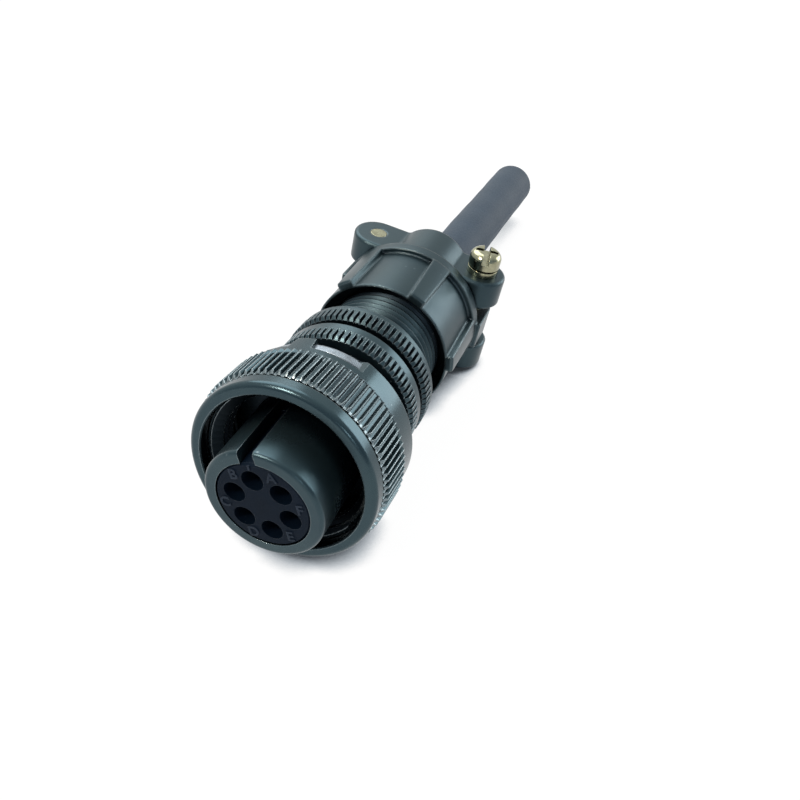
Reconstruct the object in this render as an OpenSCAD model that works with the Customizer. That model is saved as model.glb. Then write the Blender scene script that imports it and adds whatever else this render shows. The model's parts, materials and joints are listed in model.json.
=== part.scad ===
// Circular cable plug: threaded coupling nut, keyed barrel with six socket
// contacts, knurled backshell and a two-saddle cable clamp on a rubber bushing.
// The plug lies at rest: nut and clamp on the table, cable end to the rear (+Y).

/* [Barrel] */
// Outer diameter of the mating barrel
barrel_d = 17.4; // [16.4:0.1:18.4]
// Diameter of the insert face inside the barrel
insert_d = 13.8; // [13.2:0.1:14.4]
// Length of the barrel from its front face to the flange
barrel_l = 13.5; // [12.5:0.1:15]
// Radius on the front edge of the barrel
barrel_edge = 0.6; // [0.3:0.1:0.8]
// Width of the polarising keyway
key_w = 2.3; // [1.8:0.1:2.8]
// Turn of the keyway from straight up, seen from the front
key_turn = -12; // [-40:1:40]

/* [Shell] */
// Radial lap of the flange over the nut's thread
flange_lap = 0.6; // [0.4:0.05:0.8]
// Thickness of the flange
flange_t = 1.6; // [1.2:0.1:1.8]
// Radial room between the neck and the nut's retaining ring
neck_room = 1.1; // [0.8:0.05:1.4]
// Distance from the flange to the knurled grip ring
neck_l = 8.3; // [7.5:0.1:10]
// Radial rise of the grip knurl's crests over the flange
grip_rise = 0.1; // [-0.4:0.05:0.4]
// Length of the knurled part of the grip ring
grip_knurl_l = 2.5; // [2:0.1:4]
// Length of the smooth rim behind the grip knurl
grip_rim_l = 1.7; // [1:0.1:3]
// Number of teeth on each grip knurl
grip_teeth = 76; // [60:2:96]

/* [Coupling nut] */
// Major diameter of the nut's thread
nut_thread_d = 22.4; // [22:0.1:22.8]
// Radial step from the thread to the counterbore at the nut's mouth
mouth_step = 1; // [0.6:0.05:1.2]
// Depth of the counterbore at the nut's mouth
nut_mouth_l = 2.2; // [1.5:0.1:3]
// Wall of the nut around its retaining ring
rim_wall = 0.65; // [0.5:0.05:1]
// Radial rise of the front band over the rear rim
band_rise = 0.05; // [0:0.05:0.2]
// Radial rise of the knurl's crests over the rear rim
knurl_rise = 0.55; // [0.4:0.05:0.65]
// Length of the front band
nut_band_l = 2.35; // [2:0.05:3.5]
// Radius on the front edge of the nut
nut_lip = 0.85; // [0.4:0.05:1]
// Width of the groove between the front band and the knurl
band_gap = 0.35; // [0.2:0.05:0.6]
// Depth of the groove between the front band and the knurl
band_groove = 0.65; // [0.4:0.05:0.8]
// Length of the knurl
nut_knurl_l = 6.95; // [6:0.05:7.5]
// Number of knurl teeth
nut_teeth = 86; // [60:2:100]
// Distance from the nut's front face to the middle of the flange
nut_pivot = 9.15; // [9:0.05:10.5]
// Wall of the nut behind the groove of its retaining ring
nut_wall = 0.52; // [0.4:0.02:1.2]
// Axial play of the nut, between the flange and the retaining ring
nut_play = 0.95; // [0.3:0.05:1.1]
// Lean of the loose nut on its flange, front edge up
nut_lean = 4.9; // [0:0.1:5]
// Sideways rest of the loose nut on its flange, to the right
nut_side = -0.2; // [-0.25:0.05:0.25]
// Depth of the milled flat in the rear rim
flat_depth = 3.25; // [2.6:0.05:3.4]
// Width of the tab left on the flat, at its front
tab_front_w = 3.5; // [2.6:0.1:4]
// Width of the tab at its rear
tab_rear_w = 2.6; // [2:0.1:3.6]
// Middle of the tab, turned from straight up
tab_turn = -9.5; // [-30:0.5:30]

/* [Contacts] */
// Diameter of the circle of contacts
contact_pcd = 8.25; // [7.8:0.05:8.5]
// Diameter of the holes in the insert face
face_hole_d = 3.2; // [2.8:0.1:3.4]
// Bore of each socket contact
socket_bore_d = 1.64; // [1.6:0.01:1.8]
// Outer diameter of each socket contact
socket_d = 2.5; // [2.3:0.1:2.6]
// Turn of the circle of contacts from the keyway
contact_turn = -3; // [-30:0.5:30]
// Wall of the solder cup at the rear of each contact
cup_wall = 0.25; // [0.2:0.01:0.27]
// Depth of the insert face behind the barrel's front
face_recess = 0.05; // [0:0.05:0.8]

/* [Backshell] */
// Gap between the two grip rings
grip_gap = 1.1; // [0.8:0.1:2]
// Radial rise of the backshell knurl's crests over the grip ring
back_rise = 0.15; // [-0.2:0.05:0.4]
// Length of the backshell's knurl
back_knurl_l = 2.7; // [2:0.1:4]
// Length of the smooth rim behind that knurl
back_rim_l = 1.2; // [0.8:0.1:3]
// Outer diameter of the rear thread
rear_thread_d = 19.05; // [18.6:0.05:19.1]
// Length behind the rim, thread and its relief
rear_thread_l = 12.4; // [11:0.1:13]
// Pitch of the rear thread, drawn as rings
rear_pitch = 1.27; // [1:0.01:1.5]
// Bore through the rear of the backshell
back_bore_d = 14.6; // [13.6:0.1:15]

/* [Clamp body] */
// Gap between the backshell's rim and the clamp, screwed on part way
clamp_gap = 7.3; // [6.8:0.1:8]
// Diameter over the ribs
rib_d = 25.5; // [24.8:0.1:26.4]
// Diameter of the floor of the pockets between the ribs
pocket_d = 23.4; // [22.8:0.1:24]
// Diameter of the rear flange
clamp_flange_d = 25.2; // [24.6:0.1:26]
// Length of the ribbed part
ribbed_l = 12; // [11.5:0.1:14]
// Thickness of the rear flange
clamp_flange_t = 2.4; // [2:0.1:3]
// Number of ribs
rib_count = 6; // [4:1:8]
// Width of each rib at the front
rib_front_w = 2.7; // [2:0.1:3.4]
// Width of each rib at the flange
rib_rear_w = 3.6; // [2.8:0.1:4.4]
// Turn of the first rib from straight up
rib_turn = 30.4; // [0:0.2:59]

/* [Saddles] */
// Distance between the two clamp screws
screw_span = 19.7; // [18.6:0.1:20.4]
// Width of a saddle along the cable
saddle_w = 8.6; // [7.6:0.1:9.2]
// Height of the ear tops above the cable's axis
ear_top = 9.4; // [9:0.1:10.4]
// Thickness of the ears
ear_t = 5.2; // [4.4:0.1:5.6]
// Height of the dome over the cable's axis
dome_top = 11.75; // [11:0.05:12.4]
// Radius of the dome
dome_r = 6.9; // [6.4:0.1:7.4]
// Thickness of the lugs between the ears
lug_t = 4.7; // [4:0.1:4.8]
// Radius of the blend between the dome and the ears
saddle_blend = 2; // [1:0.1:2.4]
// Radius on the edges of the saddles
saddle_edge = 0.6; // [0.3:0.1:0.8]

/* [Screws] */
// Diameter of the screw shank
screw_d = 2.84; // [2.5:0.01:3]
// Diameter of the screw head
head_d = 5.5; // [5:0.1:6]
// Height of the screw head
head_h = 3; // [2.6:0.1:3.4]
// Radius on the crown of the screw head
head_edge = 1.3; // [0.8:0.1:1.6]
// Width of the slot through the screw head
slot_w = 1.1; // [0.8:0.05:1.3]
// Depth of the slot through the screw head
slot_depth = 1.5; // [1:0.1:1.8]
// Turn of the slots from the cable's direction
slot_turn = 14; // [-90:1:90]
// Thickness of the lock washer
washer_t = 1.1; // [0.6:0.1:1.3]
// Outer diameter of the lock washer
washer_d = 5.4; // [4.8:0.1:5.6]

/* [Bushing] */
// Outer diameter of the rubber bushing
bushing_d = 9.4; // [9:0.1:9.6]
// Bore of the rubber bushing
bushing_bore_d = 6.3; // [5:0.1:7]
// Length of bushing behind the clamp's screws
bushing_l = 62.9; // [40:0.1:80]
// Droop of the soft bushing in the clamp
bushing_droop = 1.6; // [0:0.1:1.8]
// Lean of the soft bushing to the right
bushing_side = 1.1; // [-1.5:0.1:1.5]

/* [Knurls and edges] */
// Depth of the knurl grooves
knurl_depth = 0.62; // [0.4:0.02:0.8]
// Bevel on the ends of the knurl teeth
knurl_bevel = 0.5; // [0.2:0.05:0.6]
// Crest width of the nut's teeth, as a share of the pitch
nut_crest = 0.12; // [0.06:0.02:0.3]
// Valley width between the nut's teeth, as a share of the pitch
nut_valley = 0.46; // [0.2:0.02:0.6]
// Crest width of the grip rings' teeth, as a share of the pitch
grip_crest = 0.46; // [0.2:0.02:0.5]
// Valley width between the grip rings' teeth, as a share of the pitch
grip_valley = 0.12; // [0.1:0.02:0.4]
// Radial drop from a grip knurl's crests to the rim behind it
rim_drop = 0.1; // [0.05:0.01:0.3]
// Bevel on the rear edge of each grip ring
rim_bevel = 0.35; // [0.2:0.05:0.5]
// Small bevel on turned edges
edge = 0.3; // [0.1:0.05:0.4]

/* [Clearances] */
// Radial gap of parts that are pressed or screwed together
fit_gap = 0.05; // [0.03:0.01:0.1]
// Gap between a moving piece and its neighbour
run_gap = 0.3; // [0.2:0.05:0.4]
// Radial gap of a screw in a plain hole
hole_gap = 0.18; // [0.1:0.01:0.25]
// Radial gap of a screw in its threaded hole
thread_gap = 0.05; // [0.03:0.01:0.1]
// Radial play of the flange in the loose nut
flange_play = 0.5; // [0.4:0.05:0.7]
// Radial gap of the bushing in the clamp
bushing_gap = 0.5; // [0.45:0.05:0.6]

/* [Hidden] */
$fn = 96;

// Colours of the finishes
olive = [0.17, 0.20, 0.20];
steel = [0.72, 0.73, 0.72];
nickel = [0.66, 0.63, 0.52];
brass = [0.75, 0.66, 0.42];
resin = [0.20, 0.22, 0.25];
rubber = [0.22, 0.24, 0.29];

// A cut runs this far past the face it starts from
over = 1;
// Depth of an outside thread of fine pitch, and the width of its crests
thread_depth = 0.7;
thread_crest = 0.16;

// Stations along the plug's axis, from the barrel's front face
flange_z = barrel_l;
neck_z = flange_z + flange_t;
grip_z = neck_z + neck_l;
grip_end = grip_z + grip_knurl_l + grip_rim_l;
back_z = grip_end + grip_gap;
back_rim_z = back_z + back_knurl_l;
back_end = back_rim_z + back_rim_l;
thread_end = back_end + rear_thread_l;
clamp_z = back_end + clamp_gap;
clamp_flange_z = clamp_z + ribbed_l;
clamp_end = clamp_flange_z + clamp_flange_t;
screw_z = clamp_end + run_gap + saddle_w / 2;

// Inserts and their ring, behind the shoulder in the barrel
shoulder_step = 0.55;
shoulder_back = 2.5;
shoulder_z = barrel_l - shoulder_back;
insert_seat_d = insert_d + 2 * shoulder_step;
insert_step_l = 1.2;
rear_insert_l = 7.5;
ring_t = 1;
ring_depth = 0.6;
ring_lap = 0.8;
key_runout = 0.3;
rear_insert_z = shoulder_z + insert_step_l + fit_gap;
insert_ring_z = rear_insert_z + rear_insert_l + fit_gap;
contact_front = 4.5;
contact_collar_d = socket_d + 0.7;
contact_collar_l = 0.9;
contact_tail_l = 5;
contact_end = insert_ring_z + contact_tail_l;
socket_depth = 7;
cup_depth = 3.5;
cup_floor = 0.7;

// Radial sizes of the loose nut and of the shell in it, built up from the nut's thread
nut_ring_bite = 1;
nut_ring_lap = 1.6;
rear_lap = 0.3;
mouth_bevel = 0.2;
flange_d = nut_thread_d + 2 * flange_lap;
grip_d = flange_d + 2 * grip_rise;
back_d = grip_d + 2 * back_rise;
nut_mouth_d = nut_thread_d + 2 * mouth_step;
nut_pocket_d = flange_d + 2 * flange_play;
nut_ring_d = nut_pocket_d + 2 * nut_ring_bite;
nut_ring_bore = nut_pocket_d - 2 * nut_ring_lap;
neck_d = nut_ring_bore - 2 * neck_room;
rim_r = nut_ring_d / 2 + rim_wall;
band_r = rim_r + band_rise;
nut_d = 2 * (rim_r + knurl_rise);

// The spigot that joins shell and backshell
spigot_d = rear_thread_d - 0.25;
spigot_l = back_end - grip_end - 0.9;

// Nut: stations from its own front face
barrel_out = flange_z + flange_t / 2 - nut_pivot;
knurl_z = nut_band_l + band_gap;
knurl_end = knurl_z + nut_knurl_l;
lean_travel = flange_d / 2 * sin(nut_lean) + flange_t / 2;
nut_shoulder_z = nut_pivot - lean_travel - run_gap;
nut_ring_z = nut_pivot + lean_travel + nut_play;
nut_ring_t = 1.2;
nut_ring_gap = 0.1;
nut_groove_z = nut_ring_z - nut_ring_gap;
nut_groove_end = nut_ring_z + nut_ring_t + nut_ring_gap;
nut_l = nut_groove_end + nut_wall;
flat_lead = 1;
flat_z = nut_ring_z - flat_lead;

// Clamp: inside shape
clamp_mouth_d = pocket_d - 0.7;
clamp_thread_d = rear_thread_d + 0.4;
clamp_mouth_l = 0.8;
clamp_cone_l = 1.4;
clamp_wall = 2.3;
clamp_bore_end = clamp_end - clamp_wall;
clamp_hole_d = bushing_d + 2 * bushing_gap;
bushing_flange_d = clamp_hole_d + 2.4;
bushing_flange_t = 1.7;
bushing_flange_z = clamp_bore_end - bushing_flange_t - run_gap;

// Saddles and screws
screw_x = screw_span / 2;
ear_r = saddle_w / 2;
arch_d = bushing_d + 2 * (bushing_gap + 0.1);
dome_z = dome_top - dome_r;
blend_lap = 0.06;
blend_z = ear_top + saddle_blend - blend_lap;
blend_x = sqrt(pow(dome_r + saddle_blend - blend_lap, 2) - pow(blend_z - dome_z, 2));
lug_r = ear_r - 0.9;
head_seat = ear_top + washer_t;
head_foot = 0.35;
head_top = head_seat + head_h;
recess_depth = slot_depth - 0.3;
recess_w = slot_w - 0.25;
recess_l = head_d * 0.7;
split_w = 0.6;

// Roll of the clamp at rest: one screw head and the far ear share the table
roll_reach = 2 * screw_x + ear_r - saddle_edge - (head_d / 2 - head_edge);
roll_drop = (head_top - head_edge) - (ear_top - saddle_edge);
clamp_roll = atan(roll_drop / roll_reach)
    + asin((head_edge - saddle_edge) / norm([roll_reach, roll_drop]));
clamp_reach = (screw_x + ear_r - saddle_edge) * sin(clamp_roll)
    + (ear_top - saddle_edge) * cos(clamp_roll) + saddle_edge;

// Slope of the axis at rest: the nut's rear rim or knurl shares the table with the clamp
pivot_z = barrel_out + nut_pivot;
function reach(r, back) = r * cos(nut_lean) + back * sin(nut_lean);
function station(r, back) = pivot_z + back * cos(nut_lean) - r * sin(nut_lean);
function slope_on(r, back, foot, foot_z) =
    atan((reach(r, back) - foot) / (foot_z - station(r, back)));
function rest_slope(foot, foot_z) =
    max(slope_on(rim_r, nut_l - edge - nut_pivot, foot, foot_z),
        slope_on(nut_d / 2, knurl_end - knurl_bevel - nut_pivot, foot, foot_z));
flange_foot = clamp_flange_d / 2;
flange_foot_z = clamp_end - edge;
slope = min(rest_slope(clamp_reach, screw_z), rest_slope(flange_foot, flange_foot_z));
rest_height = max(clamp_reach * cos(slope) + screw_z * sin(slope),
                  flange_foot * cos(slope) + flange_foot_z * sin(slope));

// Middle of the length on the table
front_y = (barrel_edge * cos(slope) - (barrel_d / 2 - barrel_edge) * sin(slope)) - barrel_edge;
bushing_run = cos(bushing_droop) * cos(bushing_side) * cos(slope) - sin(bushing_droop) * sin(slope);
rear_y = screw_z * cos(slope) + bushing_l * bushing_run
    + (bushing_d / 2 - edge) * sqrt(1 - bushing_run * bushing_run);
mid_y = (front_y + rear_y) / 2;

// Places a piece drawn along +Z, with -Y up, on the table
module at_rest() {
    translate([0, -mid_y, rest_height]) rotate([-90 - slope, 0, 0]) children();
}

// The nut's own axis leans on the flange
module on_nut_axis() {
    translate([nut_side, 0, pivot_z]) rotate([-nut_lean, 0, 0])
        translate([0, 0, -nut_pivot]) children();
}

// The clamp's frame: +X right, +Y along the cable, +Z up, rolled on the axis
module on_clamp() {
    translate([0, 0, screw_z]) rotate([0, 0, clamp_roll]) rotate([90, 0, 0])
        children();
}

// Copies a piece to the other side of the cable
module half_turn() {
    rotate([0, 180, 0]) children();
}

// Ring or rod with a rectangular section
module ring(d_out, d_in, z0, z1) {
    translate([0, 0, z0]) difference() {
        cylinder(d = d_out, h = z1 - z0);
        if (d_in > 0)
            translate([0, 0, -over]) cylinder(d = d_in, h = z1 - z0 + 2 * over);
    }
}

// Turned piece from an outline of [radius, station] points
module turned(points) {
    rotate_extrude() polygon(points);
}

// Quarter arc for an outline, counted from angle a0 to a1
function arc(cx, cy, r, a0, a1, n = 6) =
    [for (i = [0:n]) [cx + r * cos(a0 + (a1 - a0) * i / n), cy + r * sin(a0 + (a1 - a0) * i / n)]];

// Point at a radius and an angle
function polar(r, a) = [r * sin(a), r * cos(a)];

// Straight knurl: narrow crests with wider flat valleys, bevelled at the front and,
// where it stands free, at the rear; otherwise the valleys run out up to the rim
module knurl(d, teeth, z0, z1, crest_share, valley_share, free_end) {
    step = 360 / teeth;
    crest = d / 2;
    valley = crest - knurl_depth;
    rear = free_end ? knurl_bevel : -over / 2;
    tooth = [[crest, -crest_share / 2], [crest, crest_share / 2],
             [valley, 0.5 - valley_share / 2], [valley, 0.5 + valley_share / 2]];
    outline = [for (i = [0:teeth - 1], p = tooth) polar(p[0], step * (i + p[1]))];
    intersection() {
        translate([0, 0, z0]) linear_extrude(z1 - z0) polygon(outline);
        turned([[0, z0], [crest - knurl_bevel, z0], [crest + over, z0 + knurl_bevel + over],
                [crest + over, z1 - rear - over], [crest - rear, z1], [0, z1]]);
    }
    if (!free_end)
        turned([[0, z1 - knurl_depth], [valley - rim_drop, z1 - knurl_depth],
                [crest - rim_drop, z1], [0, z1]]);
}

module contact_places() {
    for (i = [0:5]) rotate([0, 0, key_turn + contact_turn + 60 * i])
        translate([0, -contact_pcd / 2, 0]) children();
}

module plug_shell() {
    spigot_end = grip_end + spigot_l;
    groove_d = insert_seat_d + 2 * ring_depth;
    grip_rim = grip_d / 2 - rim_drop;
    color(olive) at_rest() difference() {
        union() {
            turned(concat(
                [[0, 0]],
                arc(barrel_d / 2 - barrel_edge, barrel_edge, barrel_edge, -90, 0),
                [[barrel_d / 2, flange_z], [flange_d / 2 - edge, flange_z],
                 [flange_d / 2, flange_z + edge], [flange_d / 2, neck_z],
                 [neck_d / 2, neck_z], [neck_d / 2, grip_z], [0, grip_z]]));
            knurl(grip_d, grip_teeth, grip_z, grip_z + grip_knurl_l, grip_crest, grip_valley, false);
            turned([[0, grip_z + grip_knurl_l], [grip_rim, grip_z + grip_knurl_l],
                    [grip_rim, grip_end - rim_bevel], [grip_rim - rim_bevel, grip_end],
                    [spigot_d / 2, grip_end], [spigot_d / 2, spigot_end], [0, spigot_end]]);
        }
        translate([0, 0, -over]) cylinder(d = insert_d, h = shoulder_z + 2 * over);
        translate([0, 0, shoulder_z]) cylinder(d = insert_seat_d, h = spigot_end);
        translate([0, 0, insert_ring_z - fit_gap])
            cylinder(d = groove_d, h = ring_t + 2 * fit_gap);
        rotate([0, 0, key_turn]) translate([-key_w / 2, -barrel_d, -over])
            cube([key_w, barrel_d, barrel_l + key_runout + over]);
    }
}

module front_insert() {
    body_d = insert_d - 2 * fit_gap;
    step_d = insert_seat_d - 2 * fit_gap;
    step_z = shoulder_z + fit_gap;
    insert_end = shoulder_z + insert_step_l;
    color(resin) at_rest() difference() {
        turned([[0, face_recess], [body_d / 2 - edge, face_recess], [body_d / 2, face_recess + edge],
                [body_d / 2, step_z], [step_d / 2, step_z], [step_d / 2, insert_end], [0, insert_end]]);
        contact_places() {
            cylinder(d = face_hole_d, h = contact_front - fit_gap);
            cylinder(d = socket_d + 2 * fit_gap, h = insert_end + over);
            translate([0, 0, insert_end - contact_collar_l - fit_gap])
                cylinder(d = contact_collar_d + 2 * fit_gap, h = insert_step_l + over);
        }
    }
}

module rear_insert() {
    color(resin) at_rest() difference() {
        ring(insert_seat_d - 2 * fit_gap, 0, rear_insert_z, rear_insert_z + rear_insert_l);
        contact_places() translate([0, 0, rear_insert_z - over])
            cylinder(d = socket_d + 2 * fit_gap, h = rear_insert_l + 2 * over);
    }
}

module insert_retaining_ring() {
    ring_d = insert_seat_d + 2 * ring_depth - 2 * fit_gap;
    ring_bore = insert_seat_d - 2 * ring_lap;
    color(steel) at_rest() difference() {
        ring(ring_d, ring_bore, insert_ring_z, insert_ring_z + ring_t);
        translate([-split_w / 2, 0, insert_ring_z - over]) cube([split_w, ring_d, ring_t + 2 * over]);
    }
}

// One socket: plain front barrel, collar between the inserts, solder cup open on its outer side
module contact(place) {
    collar_z = shoulder_z + insert_step_l - contact_collar_l;
    cup_z = contact_end - cup_depth;
    color(brass) at_rest() rotate([0, 0, key_turn + contact_turn + 60 * place])
        translate([0, -contact_pcd / 2, 0]) difference() {
            union() {
                ring(socket_d, 0, contact_front, contact_end);
                ring(contact_collar_d, 0, collar_z, collar_z + contact_collar_l);
            }
            translate([0, 0, contact_front - over]) cylinder(d = socket_bore_d, h = socket_depth + over);
            translate([0, 0, cup_z]) cylinder(d = socket_d - 2 * cup_wall, h = cup_depth + over);
            translate([-socket_d, -socket_d, cup_z + cup_floor])
                cube([2 * socket_d, socket_d, cup_depth + over]);
        }
}

// The letters run anticlockwise from the keyway, seen from the front
module contact_a() {
    contact(0);
}

module contact_b() {
    contact(5);
}

module contact_c() {
    contact(4);
}

module contact_d() {
    contact(3);
}

module contact_e() {
    contact(2);
}

module contact_f() {
    contact(1);
}

// Milled flat across the rear rim, with one tab left standing on it
module tab_flat() {
    flat_w = 2 * nut_d;
    flat_l = nut_l - flat_z;
    rotate([0, 0, tab_turn]) difference() {
        translate([-nut_d, -nut_d, flat_z]) cube([flat_w, nut_d - rim_r + flat_depth, flat_l + over]);
        translate([0, 0, flat_z]) rotate([90, 0, 0]) linear_extrude(flat_w) polygon([
            [-tab_front_w / 2, -over], [tab_front_w / 2, -over], [tab_front_w / 2, 0],
            [tab_rear_w / 2, flat_l], [tab_rear_w / 2, flat_l + 2 * over],
            [-tab_rear_w / 2, flat_l + 2 * over], [-tab_rear_w / 2, flat_l], [-tab_front_w / 2, 0]]);
    }
}

module coupling_nut() {
    groove_r = band_r - band_groove;
    ring_seat = nut_ring_d / 2 + fit_gap;
    rear_bore = nut_pocket_d / 2 - rear_lap;
    color(olive) at_rest() on_nut_axis() difference() {
        union() {
            turned(concat(
                [[0, 0]], arc(band_r - nut_lip, nut_lip, nut_lip, -90, 0, 10),
                [[band_r, nut_band_l], [groove_r, nut_band_l], [groove_r, knurl_z], [0, knurl_z]]));
            knurl(nut_d, nut_teeth, knurl_z, knurl_end, nut_crest, nut_valley, true);
            turned([[0, knurl_end], [rim_r, knurl_end], [rim_r, nut_l - edge],
                    [rim_r - edge, nut_l], [0, nut_l]]);
        }
        turned([[0, -over], [nut_mouth_d / 2 + mouth_bevel + over, -over],
                [nut_mouth_d / 2, mouth_bevel], [nut_mouth_d / 2, nut_mouth_l],
                [nut_thread_d / 2, nut_mouth_l + mouth_step], [nut_thread_d / 2, nut_shoulder_z],
                [nut_pocket_d / 2, nut_shoulder_z], [nut_pocket_d / 2, nut_groove_z],
                [ring_seat, nut_groove_z], [ring_seat, nut_groove_end],
                [rear_bore, nut_groove_end], [rear_bore, nut_l + over], [0, nut_l + over]]);
        tab_flat();
    }
}

module nut_retaining_ring() {
    color(steel) at_rest() on_nut_axis() difference() {
        ring(nut_ring_d, nut_ring_bore, nut_ring_z, nut_ring_z + nut_ring_t);
        translate([-split_w / 2, 0, nut_ring_z - over]) cube([split_w, nut_d, nut_ring_t + 2 * over]);
    }
}

module backshell() {
    root = rear_thread_d / 2 - thread_depth;
    back_rim = back_d / 2 - rim_drop;
    relief_l = 1;
    thread_count = floor((rear_thread_l - relief_l) / rear_pitch);
    bore_d = spigot_d + 2 * fit_gap;
    bore_end = grip_end + spigot_l + fit_gap;
    color(olive) at_rest() difference() {
        union() {
            knurl(back_d, grip_teeth, back_z, back_rim_z, grip_crest, grip_valley, false);
            turned([[0, back_rim_z], [back_rim, back_rim_z], [back_rim, back_end - rim_bevel],
                    [back_rim - rim_bevel, back_end], [root, back_end], [root, thread_end], [0, thread_end]]);
            for (i = [0:thread_count - 1]) translate([0, 0, back_end + relief_l + rear_pitch * i])
                turned([[0, 0], [root, 0], [root + thread_depth, (rear_pitch - thread_crest) / 2],
                        [root + thread_depth, (rear_pitch + thread_crest) / 2],
                        [root, rear_pitch], [0, rear_pitch]]);
        }
        translate([0, 0, back_z - over]) cylinder(d = bore_d, h = bore_end - back_z + over);
        cylinder(d = back_bore_d, h = thread_end + over);
    }
}

// Lug between the ears: round rear end, front end set into the clamp's flange
module lug() {
    root_l = saddle_w / 2 + run_gap + clamp_flange_t / 2;
    translate([0, 0, -lug_t / 2]) difference() {
        union() {
            translate([screw_x, 0, 0]) cylinder(r = lug_r, h = lug_t);
            translate([screw_x - lug_r, -root_l, 0]) cube([2 * lug_r, root_l, lug_t]);
        }
        translate([screw_x, 0, -over]) cylinder(d = screw_d + 2 * hole_gap, h = lug_t + 2 * over);
    }
}

// Rib that widens towards the flange, seen from outside
module rib() {
    rotate([0, 90, 0]) linear_extrude(rib_d / 2 + over) polygon([
        [-clamp_z, -rib_front_w / 2], [-clamp_z, rib_front_w / 2],
        [-clamp_flange_z, rib_rear_w / 2], [-clamp_flange_z, -rib_rear_w / 2]]);
}

module clamp_body() {
    step = 360 / rib_count;
    mouth_end = clamp_z + clamp_mouth_l;
    thread_z = mouth_end + clamp_cone_l;
    color(olive) at_rest() {
        difference() {
            union() {
                turned([[0, clamp_z], [pocket_d / 2 - edge / 2, clamp_z], [pocket_d / 2, clamp_z + edge / 2],
                        [pocket_d / 2, clamp_flange_z], [0, clamp_flange_z]]);
                turned([[0, clamp_flange_z], [clamp_flange_d / 2, clamp_flange_z],
                        [clamp_flange_d / 2, clamp_end - edge], [clamp_flange_d / 2 - edge, clamp_end],
                        [0, clamp_end]]);
                intersection() {
                    turned([[0, clamp_z], [rib_d / 2 - edge, clamp_z], [rib_d / 2, clamp_z + edge],
                            [rib_d / 2, clamp_flange_z], [0, clamp_flange_z]]);
                    union() for (i = [0:rib_count - 1]) rotate([0, 0, rib_turn + step * i - 90]) rib();
                }
            }
            turned([[0, clamp_z - over], [clamp_mouth_d / 2, clamp_z - over],
                    [clamp_mouth_d / 2, mouth_end], [clamp_thread_d / 2, thread_z],
                    [clamp_thread_d / 2, clamp_bore_end], [0, clamp_bore_end]]);
            cylinder(d = clamp_hole_d, h = clamp_end + over);
        }
        on_clamp() {
            lug();
            half_turn() lug();
        }
    }
}

// Round ear end with softened edges
module ear_end(x, bottom) {
    translate([x, 0, 0]) turned(concat(
        [[0, bottom], [ear_r - edge, bottom], [ear_r, bottom + edge]],
        arc(ear_r - saddle_edge, ear_top - saddle_edge, saddle_edge, 0, 90), [[0, ear_top]]));
}

// Straight bar from the middle to an ear's centre, with the ear's own section
module ear_bar(x, bottom) {
    turn = x > 0 ? 1 : -1;
    rotate([90, 0, 90 * turn]) linear_extrude(abs(x)) polygon(concat(
        [[-ear_r, bottom + edge], [-ear_r + edge, bottom], [ear_r - edge, bottom], [ear_r, bottom + edge]],
        arc(ear_r - saddle_edge, ear_top - saddle_edge, saddle_edge, 0, 90),
        arc(saddle_edge - ear_r, ear_top - saddle_edge, saddle_edge, 90, 180)));
}

// Hollow blend between the dome and an ear, with the saddle's own edge radius
module dome_blend() {
    low = ear_top - saddle_blend;
    share = 1 / (dome_r + saddle_blend - blend_lap);
    inner_x = blend_x * (dome_r - saddle_edge) * share;
    high = dome_z + (blend_z - dome_z) * dome_r * share;
    flare = saddle_blend + saddle_edge;
    reach = ear_r - saddle_edge;
    difference() {
        translate([inner_x, -ear_r, low]) cube([blend_x - inner_x, saddle_w, high - low]);
        translate([blend_x, 0, blend_z]) rotate([90, 0, 0]) turned(concat(
            [[0, -ear_r - over], [flare, -ear_r - over]], arc(flare, -reach, saddle_edge, -90, -180),
            arc(flare, reach, saddle_edge, 180, 90), [[flare, ear_r + over], [0, ear_r + over]]));
    }
}

// Half of the clamp: plain ear on the right, threaded ear on the left, dome between
module saddle() {
    ear_bottom = ear_top - ear_t;
    difference() {
        union() {
            ear_end(screw_x, ear_bottom);
            ear_bar(screw_x, ear_bottom);
            ear_end(-screw_x, ear_bottom);
            ear_bar(-screw_x, ear_bottom);
            intersection() {
                translate([0, 0, dome_z]) rotate([90, 0, 0]) turned(concat(
                    [[0, -ear_r]], arc(dome_r - saddle_edge, saddle_edge - ear_r, saddle_edge, -90, 0),
                    arc(dome_r - saddle_edge, ear_r - saddle_edge, saddle_edge, 0, 90), [[0, ear_r]]));
                translate([-dome_r, -saddle_w, ear_bottom])
                    cube([2 * dome_r, 2 * saddle_w, 2 * dome_top]);
            }
            dome_blend();
            mirror([1, 0, 0]) dome_blend();
        }
        rotate([90, 0, 0]) cylinder(d = arch_d, h = 2 * saddle_w, center = true);
        translate([screw_x, 0, 0]) cylinder(d = screw_d + 2 * hole_gap, h = 2 * ear_top);
        translate([-screw_x, 0, 0]) cylinder(d = screw_d + 2 * thread_gap, h = 2 * ear_top);
    }
}

module upper_saddle() {
    color(olive) at_rest() on_clamp() saddle();
}

module lower_saddle() {
    color(olive) at_rest() on_clamp() half_turn() saddle();
}

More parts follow.
